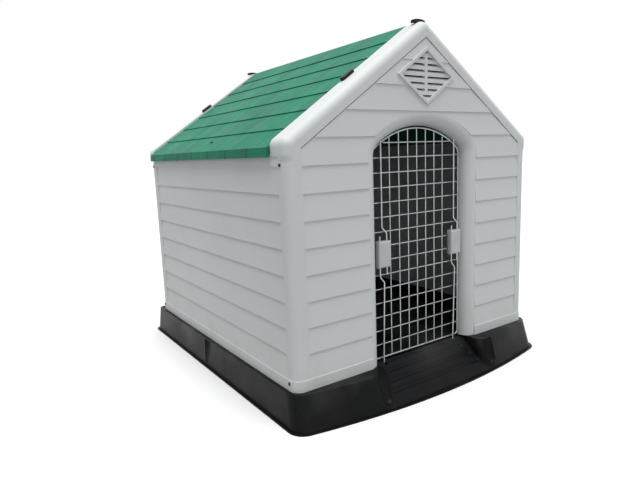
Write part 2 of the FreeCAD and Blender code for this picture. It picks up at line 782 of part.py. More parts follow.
def fascia_seams(front, back):
    """Upright notches in the fascia where one shingle meets the next."""
    outer = ROOF_HALF + SHINGLE_STEP
    high = slope_z(ROOF_HALF, SHINGLE_STEP)
    low = high - FASCIA_DROP * 2
    notches = []
    y = front + FASCIA_SEAM_START
    while y < back - SHINGLE_WIDTH / 4:
        notches.append(box(outer - FASCIA_SEAM_DEPTH, outer + SHINGLE_STEP, y, y + FASCIA_SEAM, low, high))
        y = y + SHINGLE_WIDTH
    return notches


def roof_panel():
    front = FRONT_HOOD
    back = CABIN_DEPTH - BACK_HOOD
    panel = prism_y(roof_section(), front, back)
    x, z = slope_point(EAVE_SCREW_DOWN, 0)
    axis = Vector(-ROOF_SLOPE, 0, -1).normalize()
    start = Vector(x, EAVE_SCREW_Y, z) - axis * ROOF_THICK
    hole = cylinder(SCREW_SHANK / 2, start, axis, ROOF_THICK * 3)
    seams = shingle_seams(front, back) + fascia_seams(front, back)
    return panel.cut(seams + [hole])


def ridge_tongue():
    """Strip on the right-hand panel that laps under the left-hand one at the ridge."""
    deep = ROOF_THICK + TONGUE_THICK
    outline = [
        (0, slope_z(0, -ROOF_THICK)),
        slope_point(TONGUE_REACH, -ROOF_THICK),
        slope_point(TONGUE_REACH, -deep),
        (0, slope_z(0, -deep)),
        slope_point(TONGUE_REACH, -deep, -1),
        slope_point(TONGUE_REACH, -ROOF_THICK, -1),
    ]
    front = FRONT_HOOD + HOOD_LEDGE + FIT
    back = CABIN_DEPTH - BACK_HOOD - HOOD_LEDGE - FIT
    return prism_y(outline, front, back)


# Wire door

def pipe(path, diameter):
    """Round wire along a path: a rod for each straight run, a turned length for each arc."""
    lengths = []
    for edge in path.OrderedEdges:
        start = edge.valueAt(edge.FirstParameter)
        direction = edge.tangentAt(edge.FirstParameter)
        if isinstance(edge.Curve, Part.Line):
            lengths.append(cylinder(diameter / 2, start, direction, edge.Length))
            continue
        section = Part.Face(Part.Wire(Part.makeCircle(diameter / 2, start, direction)))
        centre = edge.Curve.Center
        axis = (start - centre).cross(direction)
        angle = math.degrees(edge.Length / edge.Curve.Radius)
        lengths.append(section.revolve(centre, axis, angle))
    return fuse_all(lengths)


def bent_path(points, radius):
    """Straight runs joined by tangent arcs of one radius."""
    edges = []
    start = points[0]
    for before, corner, after in zip(points, points[1:], points[2:]):
        arriving = Vector(corner - before).normalize()
        leaving = Vector(after - corner).normalize()
        half_turn = arriving.getAngle(leaving) / 2
        setback = radius * math.tan(half_turn)
        first = corner - arriving * setback
        last = corner + leaving * setback
        inward = Vector(leaving - arriving).normalize()
        middle = corner + inward * (radius / math.cos(half_turn) - radius)
        edges.append(Part.LineSegment(start, first).toShape())
        edges.append(Part.Arc(first, middle, last).toShape())
        start = last
    edges.append(Part.LineSegment(start, points[-1]).toShape())
    return Part.Wire(edges)


def door_frame_wire():
    """Thick wire round the door: straight foot and jambs, arched top."""
    parts = arch_edges(FRAME_HALF, FRAME_APEX, FRAME_ARCH, FRAME_SHOULDER, FRAME_Y)
    jamb_top, shoulder_arc, crown_arc = parts
    corner = Vector(FRAME_HALF - FRAME_CORNER, FRAME_Y, FRAME_BOTTOM + FRAME_CORNER)
    foot_end = Vector(corner.x, FRAME_Y, FRAME_BOTTOM)
    jamb_foot = Vector(FRAME_HALF, FRAME_Y, corner.z)
    middle = corner + Vector(1, 0, -1).normalize() * FRAME_CORNER
    path = Part.Wire([
        Part.LineSegment(Vector(0, FRAME_Y, FRAME_BOTTOM), foot_end).toShape(),
        Part.Arc(foot_end, middle, jamb_foot).toShape(),
        Part.LineSegment(jamb_foot, jamb_top).toShape(),
        shoulder_arc,
        crown_arc,
    ])
    half = pipe(path, FRAME_WIRE)
    return half.fuse(mirror_x(half))


def frame_reach(z):
    """Half width of the frame's centre line at a height, and its slope's normal there."""
    centre_z = FRAME_APEX - FRAME_ARCH
    bend_x = FRAME_HALF - FRAME_SHOULDER
    bend_z = centre_z + math.sqrt((FRAME_ARCH - FRAME_SHOULDER) ** 2 - bend_x ** 2)
    if z <= bend_z:
        return FRAME_HALF, 1.0, 0.0
    touch_z = centre_z + (bend_z - centre_z) * FRAME_ARCH / (FRAME_ARCH - FRAME_SHOULDER)
    if z < touch_z:
        up = (z - bend_z) / FRAME_SHOULDER
        across = math.sqrt(1 - up ** 2)
        return bend_x + FRAME_SHOULDER * across, across, up
    up = (z - centre_z) / FRAME_ARCH
    across = math.sqrt(1 - up ** 2)
    return FRAME_ARCH * across, across, up


def door_horizontal_wires():
    wires = []
    for row in range(1, MESH_ROWS + 1):
        z = FRAME_BOTTOM + MESH_ROW_PITCH * row
        reach, across, up = frame_reach(z)
        half = reach - (FRAME_WIRE / 2 + MESH_WIRE / 2 * up) / across
        start = Vector(-half, MESH_Y, z)
        wires.append(cylinder(MESH_WIRE / 2, start, Vector(1, 0, 0), half * 2))
    return Part.makeCompound(wires)


def door_vertical_wires():
    wires = []
    centre_z = FRAME_APEX - FRAME_ARCH
    low = FRAME_BOTTOM + FRAME_WIRE / 2
    for column in range(MESH_COLUMNS):
        x = (column - (MESH_COLUMNS - 1) / 2) * MESH_COLUMN_PITCH
        across = abs(x) / FRAME_ARCH
        up = math.sqrt(1 - across ** 2)
        high = centre_z + FRAME_ARCH * up - (FRAME_WIRE / 2 + MESH_WIRE / 2 * across) / up
        start = Vector(x, MESH_Y + MESH_WIRE, low)
        wires.append(cylinder(MESH_WIRE / 2, start, Vector(0, 0, 1), high - low))
    return Part.makeCompound(wires)


# Latches, each drawn round its own rod axis at x

def rod_hole(x, z0, z1):
    """Bore for a rod, open to the back so the rod lays in."""
    radius = ROD_WIRE / 2 + PIN_PLAY
    hole = cylinder(radius, Vector(x, ROD_Y, z0), Vector(0, 0, 1), z1 - z0)
    return hole.fuse(box(x - radius, x + radius, ROD_Y, FRAME_Y, z0, z1))


def grip_span(x):
    middle = x + GRIP_SHIFT
    back = MESH_Y - MESH_WIRE / 2
    return middle - GRIP_WIDTH / 2, middle + GRIP_WIDTH / 2, back - GRIP_DEPTH, back


def latch_grip(x):
    """Moulded cap over the two rods, open to the back, with a rib that carries the springs."""
    x0, x1, y0, y1 = grip_span(x)
    block = box(x0, x1, y0, y1, GRIP_LOW, GRIP_HIGH)
    front = edges_within(block, (x0 - 1, x1 + 1), (y0 - 1, y0 + 1), (GRIP_LOW - 1, GRIP_HIGH + 1))
    block = block.makeFillet(GRIP_ROUND, front)
    wall = GRIP_WALL
    hollow = box(x0 + wall, x1 - wall, y0 + wall, y1, GRIP_LOW + wall, GRIP_HIGH - wall)
    middle = (GRIP_LOW + GRIP_HIGH) / 2
    rib = box(x0, x1, y0 + wall, y1, middle - wall / 2, middle + wall / 2)
    web_x = x + GRIP_SHIFT
    web = box(web_x - wall / 2, web_x + wall / 2, y0 + wall, y1, GRIP_LOW + wall, GRIP_HIGH - wall)
    grip = block.cut(hollow.cut([rib, web]))
    rods = [rod_hole(x + UPPER_LEG, GRIP_LOW, GRIP_HIGH), rod_hole(x + LOWER_LEG, GRIP_LOW, GRIP_HIGH)]
    return grip.cut(rods)


def latch_back_plate(x):
    """Plate behind the mesh with two bosses that reach the grip between the wires."""
    x0, x1, y0, y1 = grip_span(x)
    inset = ROD_TRAVEL / 4
    rear = FRAME_Y + PLATE_THICK
    plate = box(x0 + inset, x1 - inset, FRAME_Y, rear, GRIP_LOW, GRIP_HIGH)
    sides = [edge for edge in plate.Edges if edge.BoundBox.YLength > PLATE_THICK / 2]
    plate = plate.makeFillet(GRIP_ROUND, sides)
    middle = (GRIP_LOW + GRIP_HIGH) / 2
    bosses = []
    for offset in (-STUB * 2, STUB / 2):
        start = Vector(x + GRIP_SHIFT, y1, middle + offset)
        bosses.append(cylinder(BOSS_RADIUS, start, Vector(0, 1, 0), FRAME_Y - y1))
    return fuse_all([plate] + bosses)


def collar_span(leg):
    """Lower and upper end of the collar on a rod's leg inside the grip."""
    if leg == UPPER_LEG:
        high = GRIP_HIGH - GRIP_WALL - COLLAR_GAP
        return high - COLLAR_HEIGHT, high
    low = GRIP_LOW + GRIP_WALL + COLLAR_GAP
    return low, low + COLLAR_HEIGHT


def with_collar(rod, x, leg):
    low, high = collar_span(leg)
    collar = cylinder(COLLAR_RADIUS, Vector(x + leg, ROD_Y, low), Vector(0, 0, 1), high - low)
    return rod.fuse(collar)


def latch_upper_rod(x):
    """Rod up to the arch, stepped aside to pass through the grip and end in a stub below it."""
    tip = soffit_z(ROD_X) + PIN_REACH
    step = GRIP_HIGH + STUB * 2
    route = [
        Vector(x, ROD_Y, tip),
        Vector(x, ROD_Y, step + ROD_BEND),
        Vector(x + UPPER_LEG, ROD_Y, step - ROD_BEND),
        Vector(x + UPPER_LEG, ROD_Y, GRIP_LOW - STUB * 1.5),
    ]
    return with_collar(pipe(bent_path(route, ROD_BEND), ROD_WIRE), x, UPPER_LEG)


def latch_lower_rod(x):
    """Rod down to the sill, stepped aside to pass through the grip and end in a stub above it."""
    tip = -FLOOR_DROP - PIN_REACH
    bend = GRIP_LOW - STUB * 2.4
    route = [
        Vector(x, ROD_Y, tip),
        Vector(x, ROD_Y, STUB),
        Vector(x + LOWER_LEAN, ROD_Y, bend - ROD_BEND),
        Vector(x + LOWER_LEG, ROD_Y, bend + ROD_BEND),
        Vector(x + LOWER_LEG, ROD_Y, GRIP_HIGH + STUB),
    ]
    return with_collar(pipe(bent_path(route, ROD_BEND), ROD_WIRE), x, LOWER_LEG)


def latch_spring(x, leg):
    """Compression spring between a rod's collar and the grip's middle rib."""
    collar_low, collar_high = collar_span(leg)
    middle = (GRIP_LOW + GRIP_HIGH) / 2
    if leg == UPPER_LEG:
        low, high = middle + GRIP_WALL / 2, collar_low
    else:
        low, high = collar_high, middle - GRIP_WALL / 2
    radius = COLLAR_RADIUS - SPRING_WIRE / 2
    span = high - low - SPRING_WIRE
    helix = Part.makeHelix(span / SPRING_TURNS, span, radius)
    ring = Part.Wire(Part.makeCircle(SPRING_WIRE / 2, Vector(radius, 0, 0), Vector(0, 1, 0)))
    spring = Part.Wire(helix).makePipeShell([ring], True, True)
    spring.translate(Vector(x + leg, ROD_Y, low + SPRING_WIRE / 2))
    return spring


# Fasteners

def rounded_bar(bar):
    """Round a clip bar's upright end edges, then its top edge all round."""
    upright = [edge for edge in bar.Edges if edge.BoundBox.ZLength > CLIP_THICK - 1]
    ends = [edge for edge in upright if edge.BoundBox.XLength < 1]
    bar = bar.makeFillet(CLIP_ROUND, ends)
    top = bar.Faces[0]
    for face in bar.Faces:
        if face.CenterOfMass.z > top.CenterOfMass.z:
            top = face
    return bar.makeFillet(CLIP_EDGE, top.Edges)


def ridge_clip(y):
    """Black clip head bowed over the rounded ridge."""
    half = CLIP_LENGTH / 2
    near = y - CLIP_WIDTH / 2
    peak = TRIM_PEAK - PEAK_ROUND * (math.hypot(1, TRIM_SLOPE) - 1)
    low_left = Vector(-half, near, peak - CLIP_BOW)
    low_right = Vector(half, near, peak - CLIP_BOW)
    rise = Vector(0, 0, CLIP_THICK)
    crown = Vector(0, near, peak)
    section = Part.Wire([
        Part.Arc(low_left, crown, low_right).toShape(),
        Part.LineSegment(low_right, low_right + rise).toShape(),
        Part.Arc(low_right + rise, crown + rise, low_left + rise).toShape(),
        Part.LineSegment(low_left + rise, low_left).toShape(),
    ])
    return rounded_bar(Part.Face(section).extrude(Vector(0, CLIP_WIDTH, 0)))


def slope_clip(x, y):
    """Black clip head lying along a slope of the trim."""
    half = CLIP_LENGTH / 2
    bar = box(-half, half, y - CLIP_WIDTH / 2, y + CLIP_WIDTH / 2, 0, CLIP_THICK)
    bar = rounded_bar(bar)
    bar.rotate(Vector(0, 0, 0), Vector(0, 1, 0), math.degrees(math.atan(TRIM_SLOPE)))
    bar.translate(Vector(x, 0, trim_top(x)))
    return bar


def roof_clips():
    back_y = CABIN_DEPTH + BACK_OVERHANG - BACK_CLIP_INSET - CLIP_WIDTH / 2
    clips = [ridge_clip(FRONT_RIDGE_CLIP_Y), ridge_clip(back_y)]
    back_side_y = CABIN_DEPTH - BACK_HOOD + BACK_CLIP_INSET
    for y in (FRONT_SIDE_CLIP_Y, back_side_y):
        one = slope_clip(CLIP_X, y)
        clips.extend([one, mirror_x(one)])
    return Part.makeCompound(clips)


def screw(start, direction, shank):
    """Tapered screw head with its shank behind it; start is the face the head sits on."""
    body = cylinder(SCREW_SHANK / 2 - PIN_PLAY / 4, start - direction * shank, direction, shank)
    cap = Part.makeCone(SCREW_HEAD / 2, SCREW_HEAD / 3, SCREW_HEAD_HEIGHT, start, direction)
    return body.fuse(cap)


def corner_screws():
    screws = []
    for inset, z in screw_places(SCREW_INSET):
        for y in (inset, CABIN_DEPTH - inset):
            proud = BAND_PROUD if z < BAND_HEIGHT else 0
            seat = Vector(WALL_HALF + proud, y, z)
            one = screw(seat, Vector(1, 0, 0), proud + BOARD_STEP + SIDE_WALL)
            screws.append(one)
            screws.append(mirror_x(one))
    return Part.makeCompound(screws)


def roof_eave_screws():
    x, z = slope_point(EAVE_SCREW_DOWN, 0)
    out = Vector(ROOF_SLOPE, 0, 1).normalize()
    one = screw(Vector(x, EAVE_SCREW_Y, z), out, ROOF_THICK)
    return Part.makeCompound([one, mirror_x(one)])


def write(name, shape):
    """Move a piece to the part's own frame, on the ground and centred, and write it out."""
    shape = shape.copy()
    shape.translate(Vector(0, -FRAME_Y_CENTRE, BASE_HEIGHT))
    shape.exportStep("parts/" + name + ".step")
    print(name, len(shape.Solids), shape.isValid(), round(shape.Volume / 1000, 1))


def main():
    os.makedirs("parts", exist_ok=True)
    write("base_tray", base_tray())
    write("front_panel", front_panel())
    write("back_panel", back_panel())
    wall = side_panel()
    write("right_side_panel", wall)
    write("left_side_panel", mirror_x(wall))
    slope = roof_panel()
    write("left_roof_panel", mirror_x(slope))
    write("right_roof_panel", slope.fuse(ridge_tongue()).removeSplitter())
    write("roof_clips", roof_clips())
    write("corner_screws", corner_screws())
    write("roof_eave_screws", roof_eave_screws())
    write("door_frame_wire", door_frame_wire())
    write("door_horizontal_wires", door_horizontal_wires())
    write("door_vertical_wires", door_vertical_wires())
    for name, x in (("left", -ROD_X), ("right", ROD_X)):
        write(name + "_latch_grip", latch_grip(x))
        write(name + "_latch_back_plate", latch_back_plate(x))
        write(name + "_upper_rod", latch_upper_rod(x))
        write(name + "_lower_rod", latch_lower_rod(x))
        write(name + "_upper_spring", latch_spring(x, UPPER_LEG))
        write(name + "_lower_spring", latch_spring(x, LOWER_LEG))


main()
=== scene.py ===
import bpy
import math
from mathutils import Matrix, Vector


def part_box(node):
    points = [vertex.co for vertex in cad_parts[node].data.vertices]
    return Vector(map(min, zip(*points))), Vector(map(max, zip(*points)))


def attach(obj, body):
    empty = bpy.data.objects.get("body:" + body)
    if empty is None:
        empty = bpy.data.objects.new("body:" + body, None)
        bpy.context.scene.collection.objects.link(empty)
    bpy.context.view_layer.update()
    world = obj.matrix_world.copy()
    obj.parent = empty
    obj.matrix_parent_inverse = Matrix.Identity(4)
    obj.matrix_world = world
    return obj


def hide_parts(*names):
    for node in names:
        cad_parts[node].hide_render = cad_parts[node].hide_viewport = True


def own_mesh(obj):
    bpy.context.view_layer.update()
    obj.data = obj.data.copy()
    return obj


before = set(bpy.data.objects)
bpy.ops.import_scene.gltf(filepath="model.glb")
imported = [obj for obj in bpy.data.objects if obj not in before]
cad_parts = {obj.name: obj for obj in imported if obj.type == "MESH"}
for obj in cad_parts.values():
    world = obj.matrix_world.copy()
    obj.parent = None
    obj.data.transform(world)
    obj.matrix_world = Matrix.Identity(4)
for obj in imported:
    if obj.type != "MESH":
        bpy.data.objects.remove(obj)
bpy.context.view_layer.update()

# Camera. It stands off the front left corner of the house, a little above the middle of the
# walls, and looks across the front panel and along the left wall.
EYE = Vector((-1.0355, -1.4473, 0.6454))
TURN_RIGHT = 0.6004
LOOK_DOWN = 0.1615
LEAN = -0.0369
LENS = 29.28
FILM_WIDTH = 36
NEAREST = 0.05

ahead = Vector((
    math.sin(TURN_RIGHT) * math.cos(LOOK_DOWN),
    math.cos(TURN_RIGHT) * math.cos(LOOK_DOWN),
    -math.sin(LOOK_DOWN),
))
level = Vector((math.cos(TURN_RIGHT), -math.sin(TURN_RIGHT), 0))
upward = level.cross(ahead)
across = level * math.cos(LEAN) + upward * math.sin(LEAN)
upward = upward * math.cos(LEAN) - level * math.sin(LEAN)
camera_data = bpy.data.cameras.new("camera")
camera_data.lens = LENS
camera_data.sensor_width = FILM_WIDTH
camera_data.clip_start = NEAREST
camera = bpy.data.objects.new("camera", camera_data)
bpy.context.scene.collection.objects.link(camera)
facing = Matrix((across, upward, -ahead)).transposed()
camera.matrix_world = Matrix.Translation(EYE) @ facing.to_4x4()
bpy.context.scene.camera = camera

# White walls. Four moulded plastic panels, slightly mottled, with the fine dull grain that the
# mould leaves, slow waves from the way the plastic flowed, and patches that are darker low on the
# lowest boards.
WALL_WHITE = (0.70, 0.725, 0.73, 1)
WALL_SHADE = (0.67, 0.692, 0.695, 1)
WALL_LOW_DARK = (0.56, 0.56, 0.53, 1)
WALL_SPECULAR = 0.25
LEDGE_HEIGHT = 0.088
LOW_DARK_REACH = 0.14
LOW_DARK_SHARE = 0.5
MOULD_GRAIN = 1300
GRAIN_DEPTH = 0.0002


def new_material(name):
    material = bpy.data.materials.new(name)
    material.use_nodes = True
    shader = material.node_tree.nodes["Principled BSDF"]
    return material, material.node_tree, shader


def add_noise(tree, scale, detail, stretch=(1, 1, 1)):
    """Noise on Object coordinates, stretched by the given factors."""
    place = tree.nodes.new("ShaderNodeTexCoord")
    mapping = tree.nodes.new("ShaderNodeMapping")
    mapping.inputs["Scale"].default_value = stretch
    noise = tree.nodes.new("ShaderNodeTexNoise")
    noise.inputs["Scale"].default_value = scale
    noise.inputs["Detail"].default_value = detail
    tree.links.new(place.outputs["Object"], mapping.inputs["Vector"])
    tree.links.new(mapping.outputs["Vector"], noise.inputs["Vector"])
    return noise.outputs["Fac"]


def add_range(tree, value, low, high, to_low=0, to_high=1):
    """Map a value from one range to another, 0 to 1 unless told otherwise."""
    node = tree.nodes.new("ShaderNodeMapRange")
    node.inputs["From Min"].default_value = low
    node.inputs["From Max"].default_value = high
    node.inputs["To Min"].default_value = to_low
    node.inputs["To Max"].default_value = to_high
    tree.links.new(value, node.inputs["Value"])
    return node.outputs["Result"]


def add_math(tree, operation, first, second=0.0):
    """A Math node on one or two values; each is a float or another node's output."""
    node = tree.nodes.new("ShaderNodeMath")
    node.operation = operation
    for socket, value in ((node.inputs[0], first), (node.inputs[1], second)):
        if isinstance(value, float):
            socket.default_value = value
        else:
            tree.links.new(value, socket)
    return node.outputs["Value"]


def add_mix(tree, factor, first, second):
    """Mix two colours; each is a colour value or another node's output."""
    node = tree.nodes.new("ShaderNodeMix")
    node.data_type = "RGBA"
    tree.links.new(factor, node.inputs["Factor"])
    for socket, colour in ((node.inputs["A"], first), (node.inputs["B"], second)):
        if isinstance(colour, tuple):
            socket.default_value = colour
        else:
            tree.links.new(colour, socket)
    return node.outputs["Result"]


def add_bump(tree, shader, height, distance, strength, under=None):
    """Bump from a height value, laid over another bump where one is given."""
    bump = tree.nodes.new("ShaderNodeBump")
    bump.inputs["Strength"].default_value = strength
    bump.inputs["Distance"].default_value = distance
    tree.links.new(height, bump.inputs["Height"])
    if under:
        tree.links.new(under, bump.inputs["Normal"])
    tree.links.new(bump.outputs["Normal"], shader.inputs["Normal"])
    return bump.outputs["Normal"]


def place_along(tree, axis):
    """The place on the house along X, Y or Z; Z is the height above the ground."""
    place = tree.nodes.new("ShaderNodeTexCoord")
    split = tree.nodes.new("ShaderNodeSeparateXYZ")
    tree.links.new(place.outputs["Object"], split.inputs["Vector"])
    return split.outputs[axis]


def paint(tree, shader, colour):
    tree.links.new(colour, shader.inputs["Base Color"])


def vary_gloss(tree, shader, scale, detail, glossiest, dullest):
    """Roughness that drifts between two values over the surface."""
    drift = add_range(tree, add_noise(tree, scale, detail), 0.3, 0.7, glossiest, dullest)
    tree.links.new(drift, shader.inputs["Roughness"])


def add_grain(tree, shader, scale, strength, under=None):
    """Fine dull grain, equally deep on every moulded or plated surface."""
    add_bump(tree, shader, add_noise(tree, scale, detail=2), GRAIN_DEPTH, strength, under)


def dress(names, material):
    """Give solids of the frame a material."""
    for name in names:
        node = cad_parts[name]
        node.data.materials.clear()
        node.data.materials.append(material)


wall_plastic, tree, shader = new_material("wall plastic")
mottle = add_range(tree, add_noise(tree, scale=3.2, detail=4), 0.35, 0.7)
colour = add_mix(tree, mottle, WALL_WHITE, WALL_SHADE)
height = place_along(tree, "Z")
# Patches darker towards the bottom of the walls, fading out upwards.
low_down = add_range(tree, height, LEDGE_HEIGHT, LEDGE_HEIGHT + LOW_DARK_REACH, LOW_DARK_SHARE, 0)
patches = add_range(tree, add_noise(tree, scale=9, detail=6), 0.45, 0.7)
low_dark_patches = add_math(tree, "MULTIPLY", low_down, patches)
paint(tree, shader, add_mix(tree, low_dark_patches, colour, WALL_LOW_DARK))
vary_gloss(tree, shader, scale=14, detail=3, glossiest=0.42, dullest=0.52)
waves = add_noise(tree, scale=16, detail=3, stretch=(1, 1, 0.25))
flow = add_bump(tree, shader, waves, distance=0.0012, strength=0.16)
add_grain(tree, shader, MOULD_GRAIN, strength=0.1, under=flow)
shader.inputs["Specular IOR Level"].default_value = WALL_SPECULAR
dress(["front_panel", "back_panel", "left_side_panel", "right_side_panel"], wall_plastic)

# Eave ends. Where the white rake trim of the front panel ends at each eave, its rounded end runs
# down over the head of the wall in one moulding and fades forwards into the corner post.
EAVE_TOP = 0.667
EAVE_FOOT = 0.645
EAVE_LIP = 0.003
EAVE_REAR_Y = -0.3915
POST_FADE_TOP = 0.6505
POST_FADE_FOOT = 0.630
FADE_START_Y = -0.408
FADE_LENGTH = 0.03
WALL_FACE = 0.4384
TRIM_FACE = 0.442
TRIM_EDGE_Y = -0.43225
TRIM_EDGE_RADIUS = 0.022
POST_FACE = 0.440
POST_EDGE_Y = -0.42825
POST_EDGE_RADIUS = 0.026
POST_START = 0.002
POST_TURN = math.radians(86)
EAVE_COLUMNS = 40
SIDE_COLUMNS = 22
EAVE_ROWS = 18
BLEND_ROWS = 15
EAVE_PROUD = 0.00015
EAVE_TUCK = 0.0002
EAVE_SKIN = 0.0025
ROUND_SHADING = math.radians(50)


def smooth_step(value):
    value = min(max(value, 0), 1)
    return value * value * (3 - 2 * value)


def eave_point(column, row, side):
    """A point of the eave end, from the rear column forwards round the post, and upwards."""
    if column <= SIDE_COLUMNS:
        y = EAVE_REAR_Y + (TRIM_EDGE_Y - EAVE_REAR_Y) * column / SIDE_COLUMNS
        face = WALL_FACE if y > POST_EDGE_Y + POST_START else POST_FACE
        trim = Vector((TRIM_FACE + EAVE_PROUD, y))
        foot = Vector((face, y))
    else:
        turn = POST_TURN * (column - SIDE_COLUMNS) / (EAVE_COLUMNS - SIDE_COLUMNS)
        out = Vector((math.cos(turn), -math.sin(turn)))
        trim_centre = Vector((TRIM_FACE - TRIM_EDGE_RADIUS, TRIM_EDGE_Y))
        post_centre = Vector((POST_FACE - POST_EDGE_RADIUS, POST_EDGE_Y))
        trim = trim_centre + out * (TRIM_EDGE_RADIUS + EAVE_PROUD)
        foot = post_centre + out * (POST_EDGE_RADIUS - EAVE_TUCK)
        y = trim.y
    fade = smooth_step((FADE_START_Y - y) / FADE_LENGTH)
    low = EAVE_FOOT + (POST_FADE_FOOT - EAVE_FOOT) * fade
    high = EAVE_FOOT + EAVE_LIP + (POST_FADE_TOP - EAVE_FOOT - EAVE_LIP) * fade
    if row <= BLEND_ROWS:
        rise = row / BLEND_ROWS
        z = low + (high - low) * rise
        rounded = math.sqrt(1 - (1 - rise) ** 2)
        share = rounded + (smooth_step(rise) - rounded) * fade
    else:
        z = high + (EAVE_TOP - high) * (row - BLEND_ROWS) / (EAVE_ROWS - BLEND_ROWS)
        share = 1
    place = foot + (trim - foot) * share
    return Vector((place.x * side, place.y, z))


for side_name, side in (("left", -1), ("right", 1)):
    bpy.ops.object.select_all(action="DESELECT")
    bpy.ops.mesh.primitive_grid_add(
        x_subdivisions=EAVE_COLUMNS, y_subdivisions=EAVE_ROWS, size=2)
    eave_end = bpy.context.object
    eave_end.name = side_name + "_eave_end"
    for vertex in eave_end.data.vertices:
        column = round((vertex.co.x + 1) / 2 * EAVE_COLUMNS)
        row = round((vertex.co.y + 1) / 2 * EAVE_ROWS)
        vertex.co = eave_point(column, row, side)
    bpy.ops.object.mode_set(mode="EDIT")
    bpy.ops.mesh.select_all(action="SELECT")
    if side > 0:
        bpy.ops.mesh.flip_normals()
    bpy.ops.object.mode_set(mode="OBJECT")
    skin = eave_end.modifiers.new("skin", "SOLIDIFY")
    skin.thickness = EAVE_SKIN
    skin.offset = -1
    bpy.ops.object.modifier_apply(modifier="skin")
    bpy.ops.object.shade_smooth_by_angle(angle=ROUND_SHADING)
    eave_end.data.materials.append(wall_plastic)
    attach(eave_end, "house")

# Roof. Two green plastic panels, moulded as shingle courses and streaked a little darker down the
# slope. Shade is painted into the upright seams of the fascia as dark lines.
ROOF_GREEN = (0.016, 0.22, 0.125, 1)
ROOF_DEEP = (0.018, 0.165, 0.11, 1)
ROOF_SPECULAR = 0.06
SEAM_PAINTED_SHADE = (0.003, 0.022, 0.015, 1)
SEAM_PAINTED_SHADE_SHARE = 0.85
SEAM_PITCH = 0.121
FIRST_SEAM_Y = -0.28975
SEAM_HALF_WIDTH = 0.0018
FASCIA_FACE = 0.4494
FASCIA_BLEND = 0.0006

roof_plastic, tree, shader = new_material("roof plastic")
streaks = add_range(tree, add_noise(tree, scale=5, detail=5, stretch=(1, 2.5, 1)), 0.35, 0.68)
colour = add_mix(tree, streaks, ROOF_GREEN, ROOF_DEEP)
# Painted shade: a dark line in each upright seam of the fascia, where the groove would fall into
# shade.
along = add_math(tree, "ADD", place_along(tree, "Y"), SEAM_PITCH / 2 - FIRST_SEAM_Y)
along = add_math(tree, "FLOORED_MODULO", along, SEAM_PITCH)
from_seam = add_math(tree, "ABSOLUTE", add_math(tree, "SUBTRACT", along, SEAM_PITCH / 2))
in_seam = add_range(
    tree, from_seam, SEAM_HALF_WIDTH * 0.7, SEAM_HALF_WIDTH * 1.1, SEAM_PAINTED_SHADE_SHARE, 0)
sideways = add_math(tree, "ABSOLUTE", place_along(tree, "X"))
on_fascia = add_range(tree, sideways, FASCIA_FACE - FASCIA_BLEND, FASCIA_FACE)
painted_seam_shade = add_math(tree, "MULTIPLY", in_seam, on_fascia)
paint(tree, shader, add_mix(tree, painted_seam_shade, colour, SEAM_PAINTED_SHADE))
vary_gloss(tree, shader, scale=18, detail=3, glossiest=0.4, dullest=0.52)
furrows = add_noise(tree, scale=90, detail=4, stretch=(1, 0.12, 1))
shingle_grain = add_bump(tree, shader, furrows, distance=0.0012, strength=0.22)
add_grain(tree, shader, MOULD_GRAIN, strength=0.12, under=shingle_grain)
shader.inputs["Specular IOR Level"].default_value = ROOF_SPECULAR
dress(["left_roof_panel", "right_roof_panel"], roof_plastic)

# Base tray. One black plastic moulding that carries the walls, with a ramp in front. It is scuffed
# paler in patches and finely speckled all over. A sheen is painted onto the patches, making them
# palest along the shoulder under the walls.
TRAY_BLACK = (0.004, 0.0044, 0.005, 1)
TRAY_SCUFF_AND_SHEEN = (0.045, 0.045, 0.047, 1)
TRAY_SPECULAR = 0.09
TRAY_GRAIN = 1500
SHOULDER_START = 0.035

tray_plastic, tree, shader = new_material("tray plastic")
worn = add_range(tree, add_noise(tree, scale=7, detail=6), 0.46, 0.7)
# Painted sheen: the pale patches grow stronger towards the shoulder under the walls, where the
# tray's top edge would catch the light.
painted_shoulder_sheen = add_range(tree, place_along(tree, "Z"), SHOULDER_START, LEDGE_HEIGHT, 0.08, 0.8)
scuffs_and_sheen = add_math(tree, "MULTIPLY", worn, painted_shoulder_sheen)
specks = add_range(tree, add_noise(tree, scale=420, detail=3), 0.52, 0.75, 0, 0.12)
specks_scuffs_and_sheen = add_math(tree, "ADD", scuffs_and_sheen, specks)
paint(tree, shader, add_mix(tree, specks_scuffs_and_sheen, TRAY_BLACK, TRAY_SCUFF_AND_SHEEN))
vary_gloss(tree, shader, scale=11, detail=4, glossiest=0.26, dullest=0.46)
ripple = add_bump(tree, shader, add_noise(tree, scale=22, detail=2), distance=0.002, strength=0.12)
add_grain(tree, shader, TRAY_GRAIN, strength=0.16, under=ripple)
shader.inputs["Specular IOR Level"].default_value = TRAY_SPECULAR
dress(["base_tray"], tray_plastic)

# Roof clips. Six black plastic caps pressed through the trim, one at the ridge and two on the
# slopes at each end of the house, which hold the roof panels down.
CLIP_BLACK = (0.012, 0.012, 0.013, 1)
CLIP_WORN = (0.022, 0.022, 0.022, 1)
CLIP_ROUGHNESS = 0.38
CLIP_SPECULAR = 0.15
SMALL_PART_GRAIN = 900

clip_plastic, tree, shader = new_material("clip plastic")
shade = add_range(tree, add_noise(tree, scale=60, detail=3), 0.3, 0.7)
paint(tree, shader, add_mix(tree, shade, CLIP_BLACK, CLIP_WORN))
shader.inputs["Roughness"].default_value = CLIP_ROUGHNESS
shader.inputs["Specular IOR Level"].default_value = CLIP_SPECULAR
add_grain(tree, shader, SMALL_PART_GRAIN, strength=0.15)
dress(["roof_clips"], clip_plastic)

